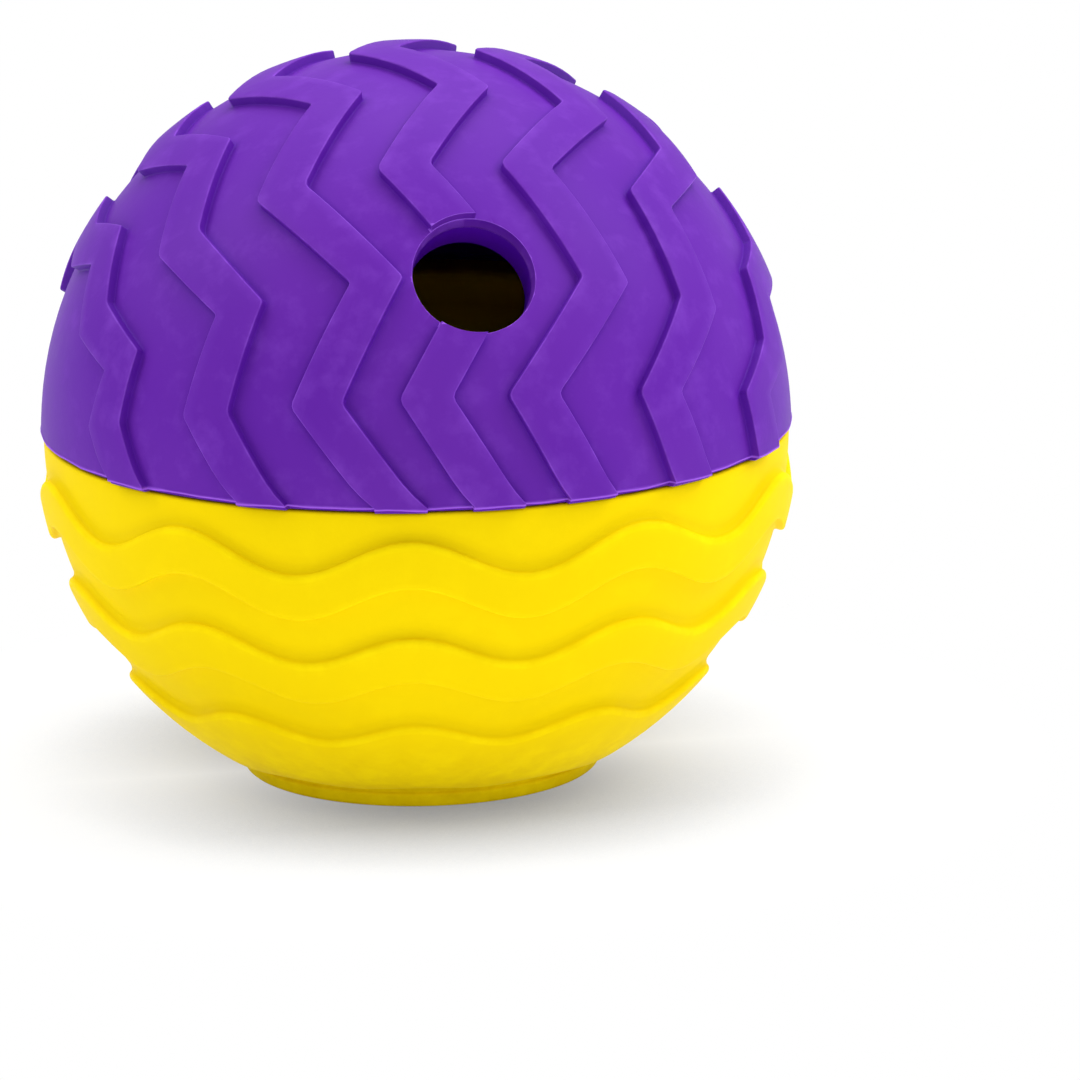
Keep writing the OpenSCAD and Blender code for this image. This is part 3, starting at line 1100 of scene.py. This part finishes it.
def lamp(name, watts, size, azimuth, elevation, distance, ball, stage):
    """A soft square lamp that looks at the ball, with its azimuth from the camera's own."""
    a = math.radians(azimuth) - stage.azimuth
    e = math.radians(elevation)
    away = Vector((math.sin(a) * math.cos(e), -math.cos(a) * math.cos(e), math.sin(e)))
    data = bpy.data.lights.new(name, "AREA")
    data.shape = "SQUARE"
    data.size = size
    data.energy = watts
    made = bpy.data.objects.new(name, data)
    bpy.context.scene.collection.objects.link(made)
    made.location = away * distance + Vector((0, 0, ball.seam_height))
    made.rotation_euler = away.to_track_quat("Z", "Y").to_euler()


def seen_directly(finish):
    """1 for rays that come straight from the camera, or by way of a gloss or a glass."""
    path = finish.node("ShaderNodeLightPath", {}, {})
    rays = [Value(finish, path.outputs[key])
            for key in ("Is Camera Ray", "Is Glossy Ray", "Is Transmission Ray")]
    return (rays[0] + rays[1] + rays[2]) > 0.5


def floor_finish():
    """A white sweep with a soft, neutral shadow of the ball, painted from ambient occlusion over a
    share of the real shadow.
    """
    finish = Finish(bpy.data.materials.new("white_floor"))
    place = finish.node("ShaderNodeTexCoord", {}, {}).outputs["Object"]
    parts = finish.node("ShaderNodeSeparateXYZ", {}, {0: place})
    # The painted shadow is deepest in front of the ball and behind it
    ahead = abs(Value(finish, parts.outputs["Y"]))
    reach = finish.value("ShaderNodeVectorMath", {"operation": "LENGTH"}, {0: place}, "Value")
    open_share = finish.value("ShaderNodeAmbientOcclusion", {}, {"Distance": 36 * MM}, "AO")
    depth = 0.4 + finish.ramp(ahead, 0.0, 28 * MM) * 0.75
    # Painted shadow: grey where the ball shuts the floor in
    shade = (1 - finish.ramp(open_share, 0.15, 0.7)) * depth
    painted_shadow_grey = finish.mix(shade, WHITE, (0.27, 0.28, 0.31, 1))
    white_and_painted_shadow = finish.node("ShaderNodeEmission", {}, {"Color": painted_shadow_grey, "Strength": 1.0})
    matt = finish.node("ShaderNodeBsdfDiffuse", {}, {"Color": (0.95, 0.97, 1.0, 1)})
    # Near the ball a share of the real shadow shows through
    share = seen_directly(finish) * (0.82 + finish.ramp(reach, 30 * MM, 80 * MM) * 0.18)
    both = finish.mix_shaders(share, matt, white_and_painted_shadow)
    finish.node("ShaderNodeOutputMaterial", {}, {"Surface": both.outputs[0]})
    return finish.owner


def surroundings(daylight):
    """Plain surroundings: full white to the camera, and daylight of its own level."""
    finish = Finish(bpy.data.worlds.new("surroundings"))
    seen = finish.node("ShaderNodeLightPath", {}, {}).outputs["Is Camera Ray"]
    light = finish.node("ShaderNodeBackground", {}, {"Color": WHITE, "Strength": daylight})
    plain = finish.node("ShaderNodeBackground", {}, {"Color": WHITE})
    both = finish.mix_shaders(seen, light, plain)
    finish.node("ShaderNodeOutputWorld", {}, {"Surface": both.outputs[0]})
    return finish.owner


class BALL_OT_stage(bpy.types.Operator):
    """Set the floor, the surroundings, the lamps and the camera."""

    bl_idname = "ball.stage"
    bl_label = "Stage"

    def execute(self, context):
        ball, _, _, look = sizes()
        stage = context.scene.ball_stage
        aim_camera(stage, ball)
        half = stage.floor_size / 2
        floor = Shell()
        corners = [(-half, -half), (half, -half), (half, half), (-half, half)]
        floor.faces.append(floor.ring([Vector((x, y, 0)) for x, y in corners]))
        sweep = floor.make("floor")
        sweep.data.materials.append(floor_finish())
        context.scene.world = surroundings(look.daylight)
        for name, place in LAMPS.items():
            lamp(name, getattr(look, name), *place, ball, stage)
        context.scene.view_settings.view_transform = "Standard"
        return {"FINISHED"}


class BALL_PT_sidebar(bpy.types.Panel):
    """The treat ball's pieces, in the order in which they are built."""

    bl_idname = "BALL_PT_sidebar"
    bl_label = "Treat ball"
    bl_space_type = "VIEW_3D"
    bl_region_type = "UI"
    bl_category = "Treat ball"

    def draw(self, context):
        for operator in OPERATORS:
            self.layout.operator(operator.bl_idname)


GROUPS = {"ball_sizes": BallSizes, "dome_sizes": DomeSizes, "bowl_sizes": BowlSizes,
          "ball_finishes": Finishes, "ball_stage": StageSizes}
OPERATORS = (BALL_OT_stage, BALL_OT_dome, BALL_OT_bowl, BALL_OT_arrow)


def register():
    """Registers the settings, the operators and the panel."""
    for name, group in GROUPS.items():
        bpy.utils.register_class(group)
        setattr(bpy.types.Scene, name, PointerProperty(type=group))
    for operator in OPERATORS:
        bpy.utils.register_class(operator)
    bpy.utils.register_class(BALL_PT_sidebar)


def unregister():
    """Takes the panel, the operators and the settings out again."""
    bpy.utils.unregister_class(BALL_PT_sidebar)
    for operator in reversed(OPERATORS):
        bpy.utils.unregister_class(operator)
    for name, group in reversed(GROUPS.items()):
        delattr(bpy.types.Scene, name)
        bpy.utils.unregister_class(group)


def main():
    """Builds the whole scene."""
    register()
    bpy.ops.ball.stage()
    bpy.ops.ball.dome()
    bpy.ops.ball.bowl()
    bpy.ops.ball.arrow()


if __name__ == "__main__":
    main()
